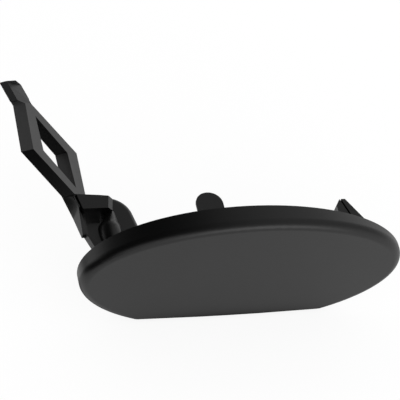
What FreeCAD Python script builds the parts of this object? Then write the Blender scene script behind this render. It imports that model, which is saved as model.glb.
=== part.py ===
import FreeCAD, Part
import math
import os

import Sketcher

# Clip-in cover for the towing eye opening of a bumper, one moulding of black plastic
# The cap's front faces -Y, its straight edge is at the bottom, and the clips and strap run to +Y
# The origin is the middle of the rim's back face, which seats on the bumper
# Lengths in millimetres and angles in degrees

sizes = {
    # cap, a wide oval with a straight lower edge
    "half_width": 40.0,
    "half_height": 21.75,
    "chord_drop": 17.55,
    "plate_thick": 1.8,
    "skirt_thick": 1.8,
    "rim_depth": 4.5,
    "bow_radius": 840.0,
    "corner_radius": 3.2,
    "edge_radius": 2.3,
    "rim_edge": 0.35,
    "rim_tilt": 3.9,
    "rim_tilt_turn": 22.0,
    # how far the roots of the clips sink into the cap's plate
    "root_sink": 0.4,
    # root block at the left end, a hooked plate with a moulding slot
    "block_left": 38.1,
    "block_width": 11.7,
    "block_foot": 16.1,
    "block_taper": 4.1,
    "block_taper_end": 9.6,
    "block_top": 5.0,
    "block_thick": 2.2,
    "block_reach": 22.4,
    "block_corner": 1.8,
    "flank_round": 6.2,
    "flank_roll": 1.2,
    "catch_depth": 5.7,
    "catch_rise": 3.0,
    "catch_drop": 3.6,
    "catch_width": 7.9,
    "catch_splay": 0.9,
    "catch_inset": 1.2,
    "catch_chamfer": 1.2,
    "slot_wall": 0.35,
    "slot_width": 4.5,
    "slot_gap": 2.2,
    "rib_offset": 6.2,
    "rib_lean": 12.0,
    "rib_small": 1.1,
    "rib_large": 2.8,
    "rib_length": 5.2,
    "rib_sink": 0.3,
    "web_thick": 2.0,
    "web_offset": 6.8,
    "web_drop": 7.0,
    "web_reach": 16.0,
    # strap, a barbed diamond ring whose sides slant with the mould's draw
    "strap_width": 3.3,
    "strap_slant": 0.5,
    "strap_x": 37.87,
    "strap_y": 21.5,
    "strap_z": 7.0,
    "strap_lean": 19.4,
    "strap_lift": 6.3,
    "strap_roll": 34.7,
    "ring_foot": 2.2,
    "ring_half_width": 8.55,
    "ring_middle": 12.7,
    "ring_end": 27.0,
    "neck_half": 1.25,
    "window_start": 1.95,
    "window_half": 4.7,
    "window_end": 23.2,
    "head_start": 28.2,
    "head_end": 34.1,
    "head_half": 1.45,
    "head_chamfer": 1.2,
    # stem, the strap's tie down the left of the root block
    "stem_y": 11.4,
    "stem_left": 38.6,
    "stem_right": 37.1,
    "stem_depth": 1.4,
    "stem_mid_y": 17.3,
    "stem_mid_left": 40.2,
    "stem_mid_right": 37.6,
    "stem_mid_top": 6.1,
    "stem_mid_depth": 3.2,
    # centre tongue
    "tongue_x": 10.45,
    "tongue_top": 16.6,
    "tongue_width": 6.6,
    "tongue_thick": 1.4,
    "tongue_bevel": 0.9,
    "tongue_reach": 13.8,
    "gusset_thick": 1.6,
    "gusset_reach": 4.6,
    # right-hand clip
    "clip_left": 23.0,
    "clip_right": 32.4,
    "clip_top": 11.5,
    "clip_thick": 4.0,
    "clip_reach": 14.0,
    "clip_nose": 2.6,
    "clip_foot": 2.2,
    "crease_width": 0.45,
    "crease_depth": 0.9,
    "crease_reach": 5.2,
    "crease_skew": 1.6,
}

doc = FreeCAD.newDocument("tow_hook_cover")
sheet = doc.addObject("Spreadsheet::Sheet", "sizes")
for row, (name, value) in enumerate(sizes.items(), start=1):
    sheet.set("A%d" % row, name)
    sheet.set("B%d" % row, repr(value))
    sheet.setAlias("B%d" % row, name)
doc.recompute()


def new_body(name):
    """A new body."""
    return doc.addObject("PartDesign::Body", name)


def base_plane(body, role):
    """One of a body's own origin planes."""
    return next(o for o in body.Origin.OriginFeatures if o.Role == role)


def new_sketch(body, name, role, height=None):
    """A sketch on one of the body's origin planes, raised along that plane's normal."""
    sketch = body.newObject("Sketcher::SketchObject", name)
    sketch.AttachmentSupport = [(base_plane(body, role), "")]
    sketch.MapMode = "FlatFace"
    if height is not None:
        sketch.setExpression("AttachmentOffset.Base.z", height)
    return sketch


def evaluate(text):
    """The present value of a size expression, for a sketch's first drawing."""
    sheet.set("D1", "=" + text.replace("sizes.", ""))
    sheet.recompute()
    return float(sheet.get("D1"))


def fix(sketch, kind, args, text):
    """A dimension held by an expression on the sheet."""
    number = sketch.addConstraint(Sketcher.Constraint(kind, *args, evaluate(text)))
    sketch.setExpression("Constraints[%d]" % number, text)


def polygon(sketch, corners):
    """A closed outline whose corners are each held by two expressions."""
    spots = [FreeCAD.Vector(evaluate(x), evaluate(y), 0) for x, y in corners]
    count = len(spots)
    first = sketch.GeometryCount
    for i in range(count):
        sketch.addGeometry(Part.LineSegment(spots[i], spots[(i + 1) % count]), False)
    for i in range(count):
        after = first + (i + 1) % count
        sketch.addConstraint(Sketcher.Constraint("Coincident", first + i, 2, after, 1))
    for i, (x, y) in enumerate(corners):
        fix(sketch, "DistanceX", (-1, 1, first + i, 1), x)
        fix(sketch, "DistanceY", (-1, 1, first + i, 1), y)


def pad(body, sketch, length, flipped=False, middle=False):
    """Material added along the sketch's normal, or against it."""
    feature = body.newObject("PartDesign::Pad", sketch.Name + "_pad")
    feature.Profile = sketch
    feature.Type = 0
    feature.setExpression("Length", length)
    feature.Reversed = flipped
    feature.Midplane = middle
    sketch.Visibility = False
    doc.recompute()
    return feature


def pocket_through(body, sketch):
    """Material taken away both ways through the body."""
    feature = body.newObject("PartDesign::Pocket", sketch.Name + "_pocket")
    feature.Profile = sketch
    feature.Type = 1
    feature.Midplane = True
    sketch.Visibility = False
    doc.recompute()
    return feature


def edges_where(feature, test):
    """Names of a feature's edges whose ends and middle pass a test."""
    found = []
    for i, edge in enumerate(feature.Shape.Edges, start=1):
        spots = [v.Point for v in edge.Vertexes]
        spots.append(edge.valueAt(0.5 * (edge.FirstParameter + edge.LastParameter)))
        if all(test(p) for p in spots):
            found.append("Edge%d" % i)
    return found


def dress(body, kind, base, names, size):
    """A fillet or chamfer on named edges of a feature."""
    feature = body.newObject("PartDesign::" + kind, base.Name + "_" + kind.lower())
    feature.Base = (base, names)
    feature.setExpression("Radius" if kind == "Fillet" else "Size", size)
    doc.recompute()
    return feature


# Cap: the oval with its straight lower edge, in an outer and an inner size


def cap_prism(name, inset, length):
    """The cap's outline, set in by a wall thickness, as a solid from the front plane to the back."""
    body = new_body(name)
    sketch = new_sketch(body, name + "_outline", "XZ_Plane")
    half_width = "(sizes.half_width - %s)" % inset
    half_height = "(sizes.half_height - %s)" % inset
    drop = "(sizes.chord_drop - %s)" % inset
    a = evaluate(half_width)
    b = evaluate(half_height)
    c = evaluate(drop)
    start = -math.asin(c / b)
    oval = Part.Ellipse(FreeCAD.Vector(0, 0, 0), a, b)
    arc = sketch.addGeometry(Part.ArcOfEllipse(oval, start, math.pi - start), False)
    sketch.exposeInternalGeometry(arc)
    reach = a * math.cos(start)
    chord = sketch.addGeometry(
        Part.LineSegment(FreeCAD.Vector(-reach, -c, 0), FreeCAD.Vector(reach, -c, 0)), False
    )
    sketch.addConstraint(Sketcher.Constraint("Coincident", arc, 3, -1, 1))
    sketch.addConstraint(Sketcher.Constraint("Horizontal", arc + 1))
    sketch.addConstraint(Sketcher.Constraint("Coincident", chord, 1, arc, 2))
    sketch.addConstraint(Sketcher.Constraint("Coincident", chord, 2, arc, 1))
    sketch.addConstraint(Sketcher.Constraint("Horizontal", chord))
    fix(sketch, "Distance", (arc + 1,), "2 * " + half_width)
    fix(sketch, "Distance", (arc + 2,), "2 * " + half_height)
    fix(sketch, "DistanceY", (chord, 1, -1, 1), drop)
    solid = pad(body, sketch, length, flipped=True)
    if solid.Shape.BoundBox.YMax < 1.0:
        solid.Reversed = False
        doc.recompute()
    return body, solid


def bow_front(body, name, depth):
    """The gentle sideways bow of the front, cut at a depth behind the front plane."""
    sketch = new_sketch(body, name, "XY_Plane")
    far = evaluate("sizes.half_width + 6")
    radius = evaluate("sizes.bow_radius")
    shift = evaluate(depth)
    y_end = shift + radius - math.sqrt(radius ** 2 - far ** 2)
    centre = FreeCAD.Vector(0, shift + radius, 0)
    angle = math.asin(far / radius)
    arc = sketch.addGeometry(
        Part.ArcOfCircle(
            Part.Circle(centre, FreeCAD.Vector(0, 0, 1), radius),
            -0.5 * math.pi - angle,
            -0.5 * math.pi + angle,
        ),
        False,
    )
    low = -6.0
    spots = [(far, y_end), (far, low), (-far, low), (-far, y_end)]
    lines = []
    for (x1, y1), (x2, y2) in zip(spots[:-1], spots[1:]):
        line = Part.LineSegment(FreeCAD.Vector(x1, y1, 0), FreeCAD.Vector(x2, y2, 0))
        lines.append(sketch.addGeometry(line, False))
    sketch.addConstraint(Sketcher.Constraint("Coincident", arc, 2, lines[0], 1))
    sketch.addConstraint(Sketcher.Constraint("Coincident", lines[0], 2, lines[1], 1))
    sketch.addConstraint(Sketcher.Constraint("Coincident", lines[1], 2, lines[2], 1))
    sketch.addConstraint(Sketcher.Constraint("Coincident", lines[2], 2, arc, 1))
    sketch.addConstraint(Sketcher.Constraint("Vertical", lines[0]))
    sketch.addConstraint(Sketcher.Constraint("Vertical", lines[2]))
    sketch.addConstraint(Sketcher.Constraint("PointOnObject", arc, 3, -2))
    sketch.addConstraint(Sketcher.Constraint("Symmetric", lines[1], 1, lines[1], 2, -2))
    fix(sketch, "Radius", (arc,), "sizes.bow_radius")
    fix(sketch, "DistanceY", (-1, 1, arc, 3), "sizes.bow_radius + " + depth)
    fix(sketch, "DistanceX", (-1, 1, lines[0], 1), "sizes.half_width + 6")
    fix(sketch, "DistanceY", (lines[0], 2, -1, 1), "6")
    return pocket_through(body, sketch)


outer, outer_pad = cap_prism("cap_outer", "0", "14")
side_lines = edges_where(outer_pad, lambda p: p.z < -sizes["chord_drop"] + 0.01)
corner_lines = [
    n
    for n in side_lines
    if abs(outer_pad.Shape.getElement(n).tangentAt(0).y) > 0.9
]
outer_corners = dress(outer, "Fillet", outer_pad, corner_lines, "sizes.corner_radius")
outer_bow = bow_front(outer, "cap_front", "0")
front_lines = edges_where(outer_bow, lambda p: p.y < 2.0)
outer_edge = dress(outer, "Fillet", outer_bow, front_lines, "sizes.edge_radius")

hollow, hollow_pad = cap_prism("cap_hollow", "sizes.skirt_thick", "20")
hollow_bow = bow_front(hollow, "hollow_floor", "sizes.plate_thick")

behind = doc.addObject("Part::Box", "behind_rim")
behind.setExpression("Length", "4 * sizes.half_width")
behind.setExpression("Width", "30")
behind.setExpression("Height", "6 * sizes.half_height")
behind.setExpression(
    "Placement",
    "placement(vector(0; sizes.rim_depth; 0);"
    " rotation(vector(-cos(sizes.rim_tilt_turn); 0; -sin(sizes.rim_tilt_turn)); sizes.rim_tilt))"
    " * placement(vector(-2 * sizes.half_width; 0; -3 * sizes.half_height);"
    " rotation(vector(0; 0; 1); 0))",
)

shell = doc.addObject("Part::Cut", "cap_shell")
shell.Base = outer
shell.Tool = hollow
rim = doc.addObject("Part::Cut", "cap_rim")
rim.Base = shell
rim.Tool = behind
doc.recompute()

# Root block: a plate with a catch across its end and the moulding slot in front of the catch

block = new_body("root_block")
left = "-sizes.block_left"
catch_front = "sizes.block_reach - sizes.catch_depth"
plate_sketch = new_sketch(
    block, "block_plate", "XY_Plane", "sizes.block_top - sizes.block_thick"
)
polygon(
    plate_sketch,
    [
        (left + " + sizes.block_taper", "sizes.plate_thick - sizes.root_sink"),
        (left + " + sizes.block_foot", "sizes.plate_thick - sizes.root_sink"),
        (left + " + sizes.block_width", "sizes.block_reach - sizes.root_sink"),
        (left + " + sizes.block_corner", "sizes.block_reach"),
        (left, "sizes.block_reach - sizes.block_corner"),
        (left, "sizes.block_reach - sizes.block_taper_end"),
    ],
)
plate_pad = pad(block, plate_sketch, "sizes.block_thick")
upright = [
    n
    for n in edges_where(plate_pad, lambda p: p.y > sizes["block_reach"] - 1.0)
    if abs(plate_pad.Shape.getElement(n).tangentAt(0).z) > 0.9
]
flank_line = [max(upright, key=lambda n: plate_pad.Shape.getElement(n).Vertexes[0].X)]
plate_round = dress(block, "Fillet", plate_pad, flank_line, "sizes.flank_round")


def on_flank(p):
    """True on the plate's top edge, along the right-hand flank and its round corner."""
    return p.z > sizes["block_top"] - 0.01 and p.x > -sizes["block_left"] + 0.62 * sizes["block_width"]


flank_lines = [
    n
    for n in edges_where(plate_round, on_flank)
    if plate_round.Shape.getElement(n).CenterOfMass.y > sizes["plate_thick"] + 1
]
plate_roll = dress(block, "Fillet", plate_round, flank_lines, "sizes.flank_roll")

catch_sketch = new_sketch(block, "block_catch", "XY_Plane", "sizes.block_top - sizes.catch_drop")
polygon(
    catch_sketch,
    [
        (left, catch_front),
        (left + " + sizes.catch_width - 0.5 * sizes.catch_inset", catch_front),
        (left + " + sizes.catch_width", "sizes.block_reach - 2 * sizes.catch_inset"),
        (left + " + 0.55 * sizes.catch_width", "sizes.block_reach - 1.6 * sizes.catch_inset"),
        (left + " - sizes.catch_splay", "sizes.block_reach - 1.2 * sizes.catch_inset"),
    ],
)
catch_pad = pad(block, catch_sketch, "sizes.catch_rise + sizes.catch_drop")
catch_top = sizes["block_top"] + sizes["catch_rise"]
top_lines = edges_where(catch_pad, lambda p: p.z > catch_top - 0.01)
catch_end = [max(top_lines, key=lambda n: catch_pad.Shape.getElement(n).CenterOfMass.x)]
catch_cut = dress(block, "Chamfer", catch_pad, catch_end, "sizes.catch_chamfer")

slot_sketch = new_sketch(block, "block_slot", "XY_Plane")
polygon(
    slot_sketch,
    [
        (left + " + sizes.slot_wall", catch_front + " - sizes.slot_gap"),
        (left + " + sizes.slot_wall + sizes.slot_width", catch_front + " - sizes.slot_gap"),
        (left + " + sizes.slot_wall + sizes.slot_width", catch_front),
        (left + " + sizes.slot_wall", catch_front),
    ],
)
slot_pocket = pocket_through(block, slot_sketch)

web_sketch = new_sketch(block, "block_web", "YZ_Plane", left + " + sizes.web_offset")
polygon(
    web_sketch,
    [
        ("sizes.plate_thick - sizes.root_sink", "sizes.block_top - 0.5 * sizes.block_thick"),
        ("sizes.plate_thick - sizes.root_sink", "sizes.block_top - sizes.web_drop"),
        ("sizes.web_reach", "sizes.block_top - sizes.block_thick"),
        ("sizes.web_reach", "sizes.block_top - 0.5 * sizes.block_thick"),
    ],
)
web_pad = pad(block, web_sketch, "sizes.web_thick")

# Teardrop rib on the block, a cone with a ball at its thick end

rib_spot = (
    "placement(vector(-sizes.block_left + sizes.rib_offset;"
    " sizes.block_reach - sizes.catch_depth + 0.8 - sizes.rib_length;"
    " sizes.block_top - sizes.rib_sink); rotationz(-sizes.rib_lean))"
)
rib = doc.addObject("Part::Cone", "block_rib")
rib.setExpression("Radius1", "sizes.rib_large")
rib.setExpression("Radius2", "sizes.rib_small")
rib.setExpression("Height", "sizes.rib_length")
rib.setExpression("Placement", rib_spot + " * placement(vector(0; 0; 0); rotationx(-90))")
rib_ball = doc.addObject("Part::Sphere", "block_rib_ball")
rib_ball.setExpression("Radius", "sizes.rib_large")
rib_ball.setExpression("Placement", rib_spot)

# Strap: the barbed ring, its head, and the stem that ties it to the root block

strap = new_body("strap_ring")
strap.setExpression(
    "Placement",
    "placement(vector(-sizes.strap_x; sizes.strap_y; sizes.strap_z);"
    " rotationz(sizes.strap_lean) * rotationx(sizes.strap_lift) * rotationy(sizes.strap_roll))",
)


def slanted_pad(sketch):
    """A pad down through the strap's thickness, along the mould's draw."""
    feature = pad(strap, sketch, "sizes.strap_width", flipped=True)
    feature.UseCustomVector = True
    feature.AlongSketchNormal = True
    feature.setExpression("Direction.x", "0")
    feature.setExpression("Direction.y", "sizes.strap_slant")
    feature.setExpression("Direction.z", "-1")
    feature.Reversed = False
    doc.recompute()
    return feature


ring_sketch = new_sketch(strap, "ring_outline", "XY_Plane")
polygon(
    ring_sketch,
    [
        ("-sizes.ring_foot", "0"),
        ("sizes.ring_foot", "0"),
        ("sizes.ring_half_width", "sizes.ring_middle"),
        ("sizes.neck_half", "sizes.ring_end"),
        ("-sizes.neck_half", "sizes.ring_end"),
        ("-sizes.ring_half_width", "sizes.ring_middle"),
    ],
)
polygon(
    ring_sketch,
    [
        ("0", "sizes.window_start"),
        ("sizes.window_half", "0.5 * (sizes.window_start + sizes.window_end)"),
        ("0", "sizes.window_end"),
        ("-sizes.window_half", "0.5 * (sizes.window_start + sizes.window_end)"),
    ],
)
ring_pad = slanted_pad(ring_sketch)
head_sketch = new_sketch(strap, "barb_head", "XY_Plane")
polygon(
    head_sketch,
    [
        ("-sizes.neck_half", "sizes.ring_end - 1"),
        ("sizes.neck_half", "sizes.ring_end - 1"),
        ("sizes.neck_half", "sizes.head_start"),
        ("sizes.head_half", "sizes.head_start + 0.4"),
        ("sizes.head_half", "sizes.head_end - sizes.head_chamfer"),
        ("sizes.head_half - sizes.head_chamfer", "sizes.head_end"),
        ("-sizes.head_half", "sizes.head_end"),
        ("-sizes.head_half", "sizes.head_start"),
        ("-sizes.neck_half", "sizes.head_start"),
    ],
)
head_pad = slanted_pad(head_sketch)


def section(name, placement, left, right, bottom, top):
    """A rectangular section of the stem."""
    sketch = doc.addObject("Sketcher::SketchObject", name)
    sketch.setExpression("Placement", placement)
    polygon(sketch, [(left, bottom), (right, bottom), (right, top), (left, top)])
    return sketch


stem_root = section(
    "stem_root",
    "placement(vector(0; sizes.stem_y; sizes.block_top); rotationx(90))",
    "-sizes.stem_left",
    "-sizes.stem_right",
    "-sizes.stem_depth",
    "0",
)
stem_middle = section(
    "stem_middle",
    "placement(vector(0; sizes.stem_mid_y; sizes.stem_mid_top); rotationx(90))",
    "-sizes.stem_mid_left",
    "-sizes.stem_mid_right",
    "-sizes.stem_mid_depth",
    "0",
)
stem_end = section(
    "stem_end",
    "placement(vector(-sizes.strap_x; sizes.strap_y; sizes.strap_z);"
    " rotationz(sizes.strap_lean) * rotationx(sizes.strap_lift) * rotationy(sizes.strap_roll))"
    " * placement(vector(0; 0.8; 0); rotationx(90) * rotationx(atan(sizes.strap_slant)))",
    "-sizes.ring_foot",
    "0.2 * sizes.ring_foot",
    "-sizes.strap_width / cos(atan(sizes.strap_slant))",
    "0",
)
doc.recompute()
stem = doc.addObject("Part::Loft", "strap_stem")
stem.Sections = [stem_root, stem_middle, stem_end]
stem.Solid = True
stem.Ruled = True

# Centre tongue with a full-round end and a small gusset at its root

tongue = new_body("centre_tongue")
tongue_sketch = new_sketch(
    tongue, "tongue_outline", "XY_Plane", "sizes.tongue_top - sizes.tongue_thick"
)
polygon(
    tongue_sketch,
    [
        ("-sizes.tongue_x - 0.5 * sizes.tongue_width", "sizes.plate_thick - sizes.root_sink"),
        ("-sizes.tongue_x + 0.5 * sizes.tongue_width", "sizes.plate_thick - sizes.root_sink"),
        ("-sizes.tongue_x + 0.5 * sizes.tongue_width", "sizes.tongue_reach"),
        ("-sizes.tongue_x - 0.5 * sizes.tongue_width", "sizes.tongue_reach"),
    ],
)
tongue_pad = pad(tongue, tongue_sketch, "sizes.tongue_thick")
tongue_ends = [
    n
    for n in edges_where(tongue_pad, lambda p: p.y > sizes["tongue_reach"] - 0.01)
    if abs(tongue_pad.Shape.getElement(n).tangentAt(0).z) > 0.9
]
tongue_round = dress(tongue, "Fillet", tongue_pad, tongue_ends, "0.49 * sizes.tongue_width")
tongue_low = sizes["tongue_top"] - sizes["tongue_thick"]
under_lines = [
    n
    for n in edges_where(tongue_round, lambda p: p.z < tongue_low + 0.01)
    if tongue_round.Shape.getElement(n).CenterOfMass.y > sizes["plate_thick"] + 1
]
tongue_bevel = dress(tongue, "Chamfer", tongue_round, under_lines, "sizes.tongue_bevel")
gusset_sketch = new_sketch(tongue, "tongue_gusset", "YZ_Plane", "-sizes.tongue_x")
polygon(
    gusset_sketch,
    [
        ("sizes.plate_thick - sizes.root_sink", "sizes.tongue_top - 0.5 * sizes.tongue_thick"),
        (
            "sizes.plate_thick - sizes.root_sink",
            "sizes.tongue_top - sizes.tongue_thick - sizes.gusset_reach",
        ),
        (
            "sizes.plate_thick + sizes.gusset_reach",
            "sizes.tongue_top - sizes.tongue_thick",
        ),
        (
            "sizes.plate_thick + sizes.gusset_reach",
            "sizes.tongue_top - 0.5 * sizes.tongue_thick",
        ),
    ],
)
gusset_pad = pad(tongue, gusset_sketch, "sizes.gusset_thick", middle=True)

# Right-hand clip, a block with a sloping shoulder

clip = new_body("right_clip")
clip_sketch = new_sketch(clip, "clip_outline", "XY_Plane", "sizes.clip_top - sizes.clip_thick")
polygon(
    clip_sketch,
    [
        ("sizes.clip_left", "sizes.plate_thick - 0.5 * sizes.root_sink"),
        ("sizes.clip_right", "sizes.plate_thick - 0.5 * sizes.root_sink"),
        ("sizes.clip_right", "sizes.clip_foot"),
        ("sizes.clip_left + sizes.clip_nose", "sizes.clip_reach"),
        ("sizes.clip_left + 0.45 * sizes.clip_nose", "sizes.clip_reach"),
        ("sizes.clip_left", "sizes.clip_reach - 1.8"),
    ],
)
clip_pad = pad(clip, clip_sketch, "sizes.clip_thick")
crease_sketch = new_sketch(clip, "clip_crease", "XY_Plane", "sizes.clip_top")
nose = "sizes.clip_left + 0.45 * sizes.clip_nose"
polygon(
    crease_sketch,
    [
        (nose, "sizes.clip_reach"),
        (nose + " + sizes.crease_skew", "sizes.clip_reach - sizes.crease_reach"),
        (
            nose + " + sizes.crease_skew + sizes.crease_width",
            "sizes.clip_reach - sizes.crease_reach",
        ),
        (nose + " + sizes.crease_width", "sizes.clip_reach"),
    ],
)
clip_crease = clip.newObject("PartDesign::Pocket", "clip_crease_pocket")
clip_crease.Profile = crease_sketch
clip_crease.Type = 0
clip_crease.setExpression("Length", "sizes.crease_depth")
crease_sketch.Visibility = False
doc.recompute()
if clip_crease.Shape.Volume > clip_pad.Shape.Volume - 0.1:
    clip_crease.Reversed = True
    doc.recompute()

# The one moulding

cover = doc.addObject("Part::MultiFuse", "tow_hook_cover")
cover.Shapes = [rim, block, rib, rib_ball, strap, stem, tongue, clip]
cover.Refine = True
cover.Label = "tow_hook_cover"
cover.setExpression("Placement", "placement(vector(0; -sizes.rim_depth; 0); rotationx(0))")
doc.recompute()

for item in doc.Objects:
    if "Invalid" in item.State or "Error" in item.State:
        raise RuntimeError(item.Name + " did not recompute")
shape = cover.Shape
if shape.isNull() or not shape.isValid():
    raise RuntimeError("the cover's shape is not valid")
if len(shape.Solids) != 1:
    raise RuntimeError("the cover is in %d pieces" % len(shape.Solids))

os.makedirs("parts", exist_ok=True)
shape.exportStep("parts/tow_hook_cover.step")
box = shape.BoundBox
print(
    "tow_hook_cover %.1f x %.1f x %.1f mm, volume %.0f mm3, faces %d"
    % (box.XLength, box.YLength, box.ZLength, shape.Volume, len(shape.Faces))
)
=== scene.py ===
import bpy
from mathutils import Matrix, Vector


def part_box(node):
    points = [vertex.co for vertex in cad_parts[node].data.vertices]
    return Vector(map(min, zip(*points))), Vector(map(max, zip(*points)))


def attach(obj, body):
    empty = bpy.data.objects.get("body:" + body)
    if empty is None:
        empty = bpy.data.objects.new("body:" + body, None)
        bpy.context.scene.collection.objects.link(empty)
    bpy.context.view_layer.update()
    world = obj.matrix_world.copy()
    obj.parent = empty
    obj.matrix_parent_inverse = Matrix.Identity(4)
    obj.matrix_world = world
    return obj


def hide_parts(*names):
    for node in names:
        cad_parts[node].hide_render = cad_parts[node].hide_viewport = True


bl_info = {
    "name": "Tow Hook Cover",
    "version": (1, 0, 0),
    "blender": (4, 5, 0),
    "location": "3D View > Sidebar > Tow Hook Cover",
    "description": "Finishes a clip-in cover for a bumper's towing eye and sets up its studio",
    "category": "Object",
}

from math import radians

import bmesh
import bpy
from bpy.props import FloatProperty, FloatVectorProperty, PointerProperty
from mathutils import Matrix, Quaternion, Vector

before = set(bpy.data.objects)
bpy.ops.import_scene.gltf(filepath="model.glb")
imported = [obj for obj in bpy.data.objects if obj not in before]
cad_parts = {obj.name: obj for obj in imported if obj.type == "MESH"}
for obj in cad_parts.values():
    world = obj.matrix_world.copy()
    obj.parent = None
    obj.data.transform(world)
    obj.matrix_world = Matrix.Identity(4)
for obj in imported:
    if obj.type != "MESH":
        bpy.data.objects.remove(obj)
COVER_NODE = "tow_hook_cover"
COVER_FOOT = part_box(COVER_NODE)[0][2]


# Places and shifts on the moulding, in metres, with its slopes and turns

STEM_MIDDLE = 0.0128
STEM_END = 0.0164
STEM_FOOT = 0.0029
STEM_FOOT_RISE = 0.33
STEM_HEIGHT = 0.0032
STEM_TOP_SHIFT = Vector((0.0012, 0.0, 0.0015))
STEM_FOOT_SHIFT = Vector((0.0007, 0.0, 0.0))
CATCH_CORNER = Vector((-0.0381, 0.0122, 0.0))
CATCH_SPLAY = 0.211
CATCH_MARGIN = 0.0001
RIB_PLACE = Vector((-0.0319, 0.0078, 0.0047))
RIB_RADIUS = 0.0028
RIB_NOSE = 2.1
RIB_TOLERANCE = 0.00003
STRAP_PLACE = Vector((-0.03787, 0.0170, 0.0070))
STRAP_TURN = (
    Matrix.Rotation(radians(19.4), 3, "Z")
    @ Matrix.Rotation(radians(6.3), 3, "X")
    @ Matrix.Rotation(radians(34.7), 3, "Y")
)
BARB_START = 0.0279
BARB_SHIFT = Vector((0.0, 0.00065, -0.0013))
BARB_TOLERANCE = 0.0002


# How the mesh is cleaned and its edges are rounded

MERGE_DISTANCE = 2e-6
FLAT_ANGLE = radians(0.8)
SHARP_ANGLE = radians(38.0)
ROUND_SEGMENTS = 3


# The plastic and its grain

PLASTIC_IOR = 1.49
GRAINS_PER_METRE = 2800.0
GRAIN_DETAIL = 2.0
GRAIN_FALL = 0.55
PIT_SHARE = 0.6
PIT_SMOOTHNESS = 0.6
GRAIN_SHARE = 0.6
PATCHES_PER_METRE = 42.0
PATCH_DETAIL = 3.0
TONE_SPREAD = 0.14
ROUGH_SPREAD = 0.10
BUMP_STRENGTH = 0.7


# Camera and lamps

SENSOR_WIDTH = 36.0
CLIP_START = 0.01
LAMP_SIZE = 0.45
FRONT_LAMP = (0.23, -0.655, 0.083)
RIGHT_LAMP = (0.482, 0.482, 0.172)
LEFT_LAMP = (-0.482, 0.482, 0.172)


# Floor, and what gloss shows of it: painted glow on the right and behind, painted shade on the
# front left and under the cover; a direction, the reach along it and the level there

FLOOR_HALF = 3.0
FLOOR_GAP = 0.0004
FLOOR_TONE = 0.85
FLOOR_WHITE = 1.1
FLOOR_SEEN = 0.80
PAINTED_GLOW_SHARE = 0.42
PAINTED_GLOW_RIGHT = ((1.0, -0.3, 0.0), (-0.077, -0.062), (0.0, 1.0))
PAINTED_GLOW_BACK = ((0.0, 1.0, 0.0), (0.01, 0.05), (0.0, 1.0))
# Painted shadow under the cover, as gloss sees the floor: scale, shift and rim of its mask.
SHADE_SCALE = (20.0, 90.0, 0.0)
SHADE_SHIFT = (0.0, -0.40, 0.0)
SHADE_RIM = ((0.75, 1.15), (0.05, 1.0))


# Room as gloss shows it: a direction, the reach along it and the level there

ROOM_RIGHT = ((1.0, 0.0, 0.0), (-0.25, 0.45), (0.005, 0.62))
ROOM_HORIZON = ((0.75, 0.66, -0.5), (0.5, 0.95), (0.0, 0.85))
ROOM_FRONT = ((0.3, -0.95, 0.0), (0.40, 0.70), (0.0, 1.0))
FRONT_HEIGHT = ((0.0, 0.0, 1.0), (0.36, 0.75), (1.0, 0.0))
ROOM_LEFT = ((-0.80, 0.60, 0.0), (0.60, 0.90), (0.0, 1.0))
LEFT_HEIGHT = ((0.0, 0.0, 1.0), (0.10, 0.28), (0.65, 0.0))


# Settings


class TowCoverPlastic(bpy.types.PropertyGroup):
    """The black moulding's finish."""

    colour: FloatVectorProperty(
        name="Plastic colour",
        description="Base colour of the black moulding",
        subtype="COLOR",
        size=3,
        min=0.0,
        max=1.0,
        default=(0.0022, 0.0022, 0.0023),
    )
    roughness: FloatProperty(
        name="Roughness",
        description="Roughness of the satin tool finish",
        min=0.0,
        max=1.0,
        default=0.34,
    )
    edge_round: FloatProperty(
        name="Edge round",
        description="Radius of the moulding's sharp edges",
        unit="LENGTH",
        min=0.0,
        max=0.001,
        default=0.00022,
    )
    grain_size: FloatProperty(
        name="Grain size",
        description="Distance between bumps of the fine tool grain",
        unit="LENGTH",
        min=0.0001,
        max=0.005,
        default=0.00035,
    )
    grain_height: FloatProperty(
        name="Grain height",
        description="Height of the fine tool grain",
        unit="LENGTH",
        min=0.0,
        max=0.0005,
        default=0.000012,
    )


class TowCoverStudio(bpy.types.PropertyGroup):
    """The camera, the lamps and the room."""

    lens: FloatProperty(
        name="Lens",
        description="Focal length on a 36 mm sensor",
        min=10.0,
        max=400.0,
        default=162.0,
    )
    camera_place: FloatVectorProperty(
        name="Camera place",
        description="Where the camera stands",
        subtype="TRANSLATION",
        unit="LENGTH",
        size=3,
        default=(-0.13532, -0.22388, 0.34166),
    )
    camera_aim: FloatVectorProperty(
        name="Camera aim",
        description="Unit direction in which the camera looks",
        subtype="DIRECTION",
        size=3,
        default=(0.2941, 0.5538, -0.7790),
    )
    camera_roll: FloatProperty(
        name="Camera roll",
        description="Turn of the picture about the line of sight",
        subtype="ANGLE",
        default=radians(20.2),
    )
    front_power: FloatProperty(
        name="Front power",
        description="Power of the low lamp in front, in watts",
        min=0.0,
        max=100.0,
        default=0.9,
    )
    right_power: FloatProperty(
        name="Right power",
        description="Power of the low lamp behind on the right, in watts",
        min=0.0,
        max=100.0,
        default=0.30,
    )
    left_power: FloatProperty(
        name="Left power",
        description="Power of the low lamp behind on the left, in watts",
        min=0.0,
        max=100.0,
        default=0.05,
    )
    room_level: FloatProperty(
        name="Room level",
        description="Level of the even light of the room",
        min=0.0,
        max=2.0,
        default=0.68,
    )
    sweep_level: FloatProperty(
        name="Sweep level",
        description="How bright the room looks in the plastic's gloss",
        min=0.0,
        max=1.0,
        default=0.85,
    )


# Shader parts


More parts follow.
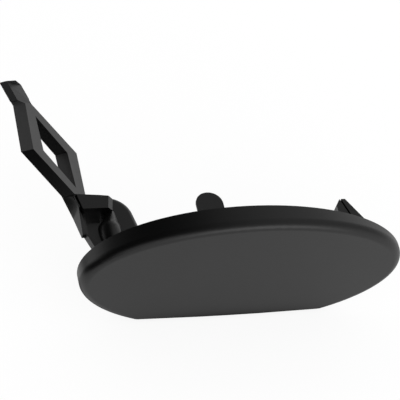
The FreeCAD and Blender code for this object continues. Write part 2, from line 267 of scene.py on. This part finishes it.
def node_group(name, inputs, outputs):
    """A new shader group with its sockets, and its two end nodes."""
    tree = bpy.data.node_groups.new(name, "ShaderNodeTree")
    for kind, label, value in inputs:
        socket = tree.interface.new_socket(name=label, in_out="INPUT", socket_type=kind)
        if value is not None:
            socket.default_value = value
    for kind, label in outputs:
        tree.interface.new_socket(name=label, in_out="OUTPUT", socket_type=kind)
    start = tree.nodes.new("NodeGroupInput")
    end = tree.nodes.new("NodeGroupOutput")
    return tree, start, end


def maths(tree, operation, first, second):
    """A Math node fed by sockets or numbers."""
    node = tree.nodes.new("ShaderNodeMath")
    node.operation = operation
    for index, value in enumerate((first, second)):
        if isinstance(value, (int, float)):
            node.inputs[index].default_value = value
        else:
            tree.links.new(value, node.inputs[index])
    return node.outputs[0]


def along(tree, vector, direction):
    """How far a vector reaches along a direction."""
    node = tree.nodes.new("ShaderNodeVectorMath")
    node.operation = "DOT_PRODUCT"
    node.inputs[1].default_value = direction
    tree.links.new(vector, node.inputs[0])
    return node.outputs["Value"]


def map_range(tree, value, before, after):
    """A smooth Map Range node from one range to another."""
    node = tree.nodes.new("ShaderNodeMapRange")
    node.interpolation_type = "SMOOTHSTEP"
    tree.links.new(value, node.inputs["Value"])
    node.inputs["From Min"].default_value = before[0]
    node.inputs["From Max"].default_value = before[1]
    node.inputs["To Min"].default_value = after[0]
    node.inputs["To Max"].default_value = after[1]
    return node.outputs["Result"]


def reach(tree, vector, direction, before, after):
    """A smooth change of level along a direction."""
    return map_range(tree, along(tree, vector, direction), before, after)


def tool_grain_group():
    """Fine grain that a satin mould tool leaves on plastic, as a height, and faint patches."""
    tree, start, end = node_group(
        "Tool grain",
        [("NodeSocketVector", "Place", None), ("NodeSocketFloat", "Per metre", GRAINS_PER_METRE)],
        [("NodeSocketFloat", "Height"), ("NodeSocketFloat", "Patches")],
    )
    place = start.outputs["Place"]
    per_metre = start.outputs["Per metre"]
    fine = tree.nodes.new("ShaderNodeTexNoise")
    fine.inputs["Detail"].default_value = GRAIN_DETAIL
    fine.inputs["Roughness"].default_value = GRAIN_FALL
    tree.links.new(place, fine.inputs["Vector"])
    tree.links.new(per_metre, fine.inputs["Scale"])
    pits = tree.nodes.new("ShaderNodeTexVoronoi")
    pits.feature = "SMOOTH_F1"
    pits.inputs["Smoothness"].default_value = PIT_SMOOTHNESS
    tree.links.new(place, pits.inputs["Vector"])
    tree.links.new(maths(tree, "MULTIPLY", per_metre, PIT_SHARE), pits.inputs["Scale"])
    height = maths(tree, "ADD", fine.outputs["Fac"], pits.outputs["Distance"])
    tree.links.new(maths(tree, "MULTIPLY", height, GRAIN_SHARE), end.inputs["Height"])
    patches = tree.nodes.new("ShaderNodeTexNoise")
    patches.inputs["Scale"].default_value = PATCHES_PER_METRE
    patches.inputs["Detail"].default_value = PATCH_DETAIL
    tree.links.new(place, patches.inputs["Vector"])
    tree.links.new(patches.outputs["Fac"], end.inputs["Patches"])
    return tree


def black_plastic():
    """The moulding's material: black satin plastic with fine grain."""
    settings = bpy.context.scene.tow_cover_plastic
    material = bpy.data.materials.new("black_satin_plastic")
    material.use_nodes = True
    tree = material.node_tree
    shader = tree.nodes["Principled BSDF"]
    shader.inputs["IOR"].default_value = PLASTIC_IOR
    place = tree.nodes.new("ShaderNodeTexCoord")
    grain = tree.nodes.new("ShaderNodeGroup")
    grain.node_tree = bpy.data.node_groups.get("Tool grain") or tool_grain_group()
    grain.inputs["Per metre"].default_value = 1.0 / settings.grain_size
    tree.links.new(place.outputs["Object"], grain.inputs["Place"])
    tone = tree.nodes.new("ShaderNodeMix")
    tone.data_type = "RGBA"
    dark = [(1.0 - TONE_SPREAD) * c for c in settings.colour]
    light = [(1.0 + TONE_SPREAD) * c for c in settings.colour]
    tone.inputs["A"].default_value = (*dark, 1.0)
    tone.inputs["B"].default_value = (*light, 1.0)
    tree.links.new(grain.outputs["Patches"], tone.inputs["Factor"])
    tree.links.new(tone.outputs["Result"], shader.inputs["Base Color"])
    spread = maths(tree, "MULTIPLY", grain.outputs["Patches"], ROUGH_SPREAD)
    rough = maths(tree, "ADD", spread, settings.roughness - 0.5 * ROUGH_SPREAD)
    tree.links.new(rough, shader.inputs["Roughness"])
    bump = tree.nodes.new("ShaderNodeBump")
    bump.inputs["Distance"].default_value = settings.grain_height
    bump.inputs["Strength"].default_value = BUMP_STRENGTH
    tree.links.new(grain.outputs["Height"], bump.inputs["Height"])
    tree.links.new(bump.outputs["Normal"], shader.inputs["Normal"])
    return material


# Meshes


def stem_side(skin):
    """Slope the outer side of the strap's stem, so that its top edge runs beside the catch."""
    for corner in skin.verts:
        x, y, z = corner.co
        catch_side = CATCH_CORNER.x - CATCH_SPLAY * (y - CATCH_CORNER.y)
        if x > catch_side - CATCH_MARGIN or not STEM_MIDDLE - CATCH_MARGIN < y < STEM_END:
            continue
        back = (y - STEM_MIDDLE) / (STEM_END - STEM_MIDDLE)
        foot = STEM_FOOT + STEM_FOOT_RISE * (y - STEM_MIDDLE)
        height = min(max((z - foot) / STEM_HEIGHT, 0.0), 1.0)
        shift = STEM_FOOT_SHIFT.lerp(STEM_TOP_SHIFT, height)
        corner.co += (1.0 - back) * shift
        corner.co.x = min(corner.co.x, catch_side - CATCH_MARGIN)


def rib_nose(skin):
    """Draw the rib's round front end out toward the cap."""
    for corner in skin.verts:
        spot = corner.co - RIB_PLACE
        if abs(spot.length - RIB_RADIUS) < RIB_TOLERANCE and spot.y < 0.0:
            corner.co.y += (RIB_NOSE - 1.0) * spot.y


def barb_slope(skin):
    """Slope the end of the barb's top down to the left."""
    strap = Matrix.Translation(STRAP_PLACE) @ STRAP_TURN.to_4x4()
    back = strap.inverted()
    for corner in skin.verts:
        spot = back @ corner.co
        if spot.y > BARB_START and abs(spot.z) < BARB_TOLERANCE and spot.x < 0.0:
            corner.co = strap @ (spot + BARB_SHIFT)


def moulded_copy(node, name, radius):
    """A copy of a CAD node, merged, with its small forms shaped and its edges rounded."""
    mesh = node.data.copy()
    mesh.name = name
    skin = bmesh.new()
    skin.from_mesh(mesh)
    bmesh.ops.remove_doubles(skin, verts=skin.verts, dist=MERGE_DISTANCE)
    bmesh.ops.dissolve_degenerate(skin, edges=skin.edges, dist=MERGE_DISTANCE)
    bmesh.ops.dissolve_limit(skin, angle_limit=FLAT_ANGLE, verts=skin.verts, edges=skin.edges)
    stem_side(skin)
    rib_nose(skin)
    barb_slope(skin)
    skin.to_mesh(mesh)
    skin.free()
    piece = bpy.data.objects.new(name, mesh)
    bpy.context.scene.collection.objects.link(piece)
    for face in mesh.polygons:
        face.use_smooth = True
    bevel = piece.modifiers.new("edge_round", "BEVEL")
    bevel.width = radius
    bevel.segments = ROUND_SEGMENTS
    bevel.limit_method = "ANGLE"
    bevel.angle_limit = SHARP_ANGLE
    bevel.use_clamp_overlap = True
    bevel.harden_normals = False
    bevel.miter_outer = "MITER_ARC"
    normals = piece.modifiers.new("even_shading", "WEIGHTED_NORMAL")
    normals.keep_sharp = True
    return piece


# Operators


class TOWCOVER_OT_moulding(bpy.types.Operator):
    """Make the cover's moulding: cap, clips, root block and strap in one piece"""

    bl_idname = "towcover.moulding"
    bl_label = "Cover Moulding"

    def execute(self, context):
        settings = context.scene.tow_cover_plastic
        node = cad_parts[COVER_NODE]
        piece = moulded_copy(node, "cover_moulding", settings.edge_round)
        piece.data.materials.clear()
        piece.data.materials.append(black_plastic())
        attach(piece, "root")
        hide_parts(COVER_NODE)
        return {"FINISHED"}


class TOWCOVER_OT_studio(bpy.types.Operator):
    """Set up the pale floor, the soft lamps, the white background and the camera"""

    bl_idname = "towcover.studio"
    bl_label = "Studio"

    def execute(self, context):
        scene = context.scene
        settings = scene.tow_cover_studio
        scene.view_settings.view_transform = "Standard"
        self.floor(scene)
        self.world(scene, settings)
        lamp(scene, "front_lamp", FRONT_LAMP, settings.front_power)
        lamp(scene, "right_lamp", RIGHT_LAMP, settings.right_power)
        lamp(scene, "left_lamp", LEFT_LAMP, settings.left_power)
        lens = bpy.data.cameras.new("camera")
        lens.lens = settings.lens
        lens.sensor_width = SENSOR_WIDTH
        lens.clip_start = CLIP_START
        camera = bpy.data.objects.new("camera", lens)
        scene.collection.objects.link(camera)
        aim = Vector(settings.camera_aim).to_track_quat("-Z", "Y")
        turn = aim @ Quaternion((0.0, 0.0, 1.0), settings.camera_roll)
        camera.matrix_world = Matrix.LocRotScale(Vector(settings.camera_place), turn, None)
        scene.camera = camera
        return {"FINISHED"}

    def floor(self, scene):
        """A wide pale floor just under the cover."""
        mesh = bpy.data.meshes.new("floor")
        skin = bmesh.new()
        bmesh.ops.create_grid(skin, x_segments=1, y_segments=1, size=FLOOR_HALF)
        for corner in skin.verts:
            corner.co.z = COVER_FOOT - FLOOR_GAP
        skin.to_mesh(mesh)
        skin.free()
        floor = bpy.data.objects.new("floor", mesh)
        scene.collection.objects.link(floor)
        mesh.materials.append(self.floor_paint_and_painted_glow())

    def floor_paint_and_painted_glow(self):
        """Matt white; gloss shows a painted glow on the open floor and painted shade, dark, on
        the front left and under the cover.
        """
        material = bpy.data.materials.new("pale_floor_painted_glow")
        material.use_nodes = True
        tree = material.node_tree
        tree.nodes.clear()
        out = tree.nodes.new("ShaderNodeOutputMaterial")
        matt = tree.nodes.new("ShaderNodeBsdfDiffuse")
        white = tree.nodes.new("ShaderNodeEmission")
        white.inputs["Strength"].default_value = FLOOR_WHITE
        path = tree.nodes.new("ShaderNodeLightPath")
        glossy = path.outputs["Is Glossy Ray"]
        spot = tree.nodes.new("ShaderNodeTexCoord").outputs["Object"]
        # Painted glow for gloss: bright on the right and behind, dark on the front left.
        right = reach(tree, spot, *PAINTED_GLOW_RIGHT)
        behind = reach(tree, spot, *PAINTED_GLOW_BACK)
        bright = maths(tree, "MAXIMUM", right, behind)
        # Painted shadow: the glow drops to nearly nothing under the cover.
        bright = maths(tree, "MULTIPLY", bright, self.painted_shadow_mask(tree, spot))
        # Painted shade for gloss: the matt colour goes dark where the glow is missing.
        painted_shade_share = maths(tree, "MULTIPLY", glossy, maths(tree, "SUBTRACT", 1.0, bright))
        tone = maths(tree, "MULTIPLY", maths(tree, "SUBTRACT", 1.0, painted_shade_share), FLOOR_TONE)
        tree.links.new(tone, matt.inputs["Color"])
        seen = maths(tree, "MULTIPLY", path.outputs["Is Camera Ray"], FLOOR_SEEN)
        # Painted glow: a share of white emission that only gloss sees.
        gloss = maths(tree, "MULTIPLY", maths(tree, "MULTIPLY", glossy, bright), PAINTED_GLOW_SHARE)
        mix = tree.nodes.new("ShaderNodeMixShader")
        tree.links.new(maths(tree, "ADD", seen, gloss), mix.inputs["Fac"])
        tree.links.new(matt.outputs[0], mix.inputs[1])
        tree.links.new(white.outputs[0], mix.inputs[2])
        tree.links.new(mix.outputs[0], out.inputs["Surface"])
        return material

    def painted_shadow_mask(self, tree, spot):
        """Mask of a painted shadow: one on the open floor, and nearly nothing under the cover."""
        shade = tree.nodes.new("ShaderNodeVectorMath")
        shade.operation = "MULTIPLY_ADD"
        shade.inputs[1].default_value = SHADE_SCALE
        shade.inputs[2].default_value = SHADE_SHIFT
        tree.links.new(spot, shade.inputs[0])
        distance = tree.nodes.new("ShaderNodeVectorMath")
        distance.operation = "LENGTH"
        tree.links.new(shade.outputs["Vector"], distance.inputs[0])
        return map_range(tree, distance.outputs["Value"], *SHADE_RIM)

    def world(self, scene, settings):
        """Even room light, seen as plain white by the camera and as a shaped room in gloss."""
        world = bpy.data.worlds.new("room")
        scene.world = world
        world.use_nodes = True
        tree = world.node_tree
        tree.nodes.clear()
        out = tree.nodes.new("ShaderNodeOutputWorld")
        room = tree.nodes.new("ShaderNodeBackground")
        room.inputs["Color"].default_value = (1.0, 1.0, 1.0, 1.0)
        path = tree.nodes.new("ShaderNodeLightPath")
        glossy = path.outputs["Is Glossy Ray"]
        way = tree.nodes.new("ShaderNodeTexCoord").outputs["Generated"]
        right = reach(tree, way, *ROOM_RIGHT)
        horizon = reach(tree, way, *ROOM_HORIZON)
        front = reach(tree, way, *ROOM_FRONT)
        front = maths(tree, "MULTIPLY", front, reach(tree, way, *FRONT_HEIGHT))
        left = reach(tree, way, *ROOM_LEFT)
        left = maths(tree, "MULTIPLY", left, reach(tree, way, *LEFT_HEIGHT))
        sweep = maths(tree, "MAXIMUM", right, horizon)
        sweep = maths(tree, "MAXIMUM", sweep, front)
        sweep = maths(tree, "MAXIMUM", sweep, left)
        sweep = maths(tree, "MULTIPLY", sweep, settings.sweep_level)
        mirrored = maths(tree, "MULTIPLY", sweep, glossy)
        even = maths(tree, "MULTIPLY", maths(tree, "SUBTRACT", 1.0, glossy), settings.room_level)
        level = maths(tree, "ADD", mirrored, even)
        through = path.outputs["Is Transmission Ray"]
        seen = maths(tree, "MAXIMUM", path.outputs["Is Camera Ray"], through)
        tree.links.new(maths(tree, "MAXIMUM", level, seen), room.inputs["Strength"])
        tree.links.new(room.outputs[0], out.inputs["Surface"])


def lamp(scene, name, place, power):
    """A square soft lamp aimed at the middle of the cap."""
    light = bpy.data.lights.new(name, "AREA")
    light.shape = "SQUARE"
    light.size = LAMP_SIZE
    light.energy = power
    item = bpy.data.objects.new(name, light)
    scene.collection.objects.link(item)
    item.location = place
    item.rotation_mode = "QUATERNION"
    item.rotation_quaternion = (-Vector(place)).to_track_quat("-Z", "Y")


# Panel


class TOWCOVER_PT_panel(bpy.types.Panel):
    """Shows the cover's finish and studio settings and their operators"""

    bl_idname = "TOWCOVER_PT_panel"
    bl_label = "Tow Hook Cover"
    bl_space_type = "VIEW_3D"
    bl_region_type = "UI"
    bl_category = "Tow Hook Cover"

    def draw(self, context):
        layout = self.layout
        plastic = context.scene.tow_cover_plastic
        studio = context.scene.tow_cover_studio
        column = layout.column(align=True)
        column.label(text="Finish")
        for name in ("colour", "roughness", "edge_round", "grain_size", "grain_height"):
            column.prop(plastic, name)
        layout.operator("towcover.moulding")
        column = layout.column(align=True)
        column.label(text="Studio")
        for name in (
            "lens",
            "front_power",
            "right_power",
            "left_power",
            "room_level",
            "sweep_level",
        ):
            column.prop(studio, name)
        layout.operator("towcover.studio")


CLASSES = (
    TowCoverPlastic,
    TowCoverStudio,
    TOWCOVER_OT_moulding,
    TOWCOVER_OT_studio,
    TOWCOVER_PT_panel,
)


def register():
    for item in CLASSES:
        bpy.utils.register_class(item)
    bpy.types.Scene.tow_cover_plastic = PointerProperty(type=TowCoverPlastic)
    bpy.types.Scene.tow_cover_studio = PointerProperty(type=TowCoverStudio)


def unregister():
    del bpy.types.Scene.tow_cover_studio
    del bpy.types.Scene.tow_cover_plastic
    for item in reversed(CLASSES):
        bpy.utils.unregister_class(item)


def main():
    register()
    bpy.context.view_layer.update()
    bpy.ops.towcover.moulding()
    bpy.ops.towcover.studio()


if __name__ == "__main__":
    main()
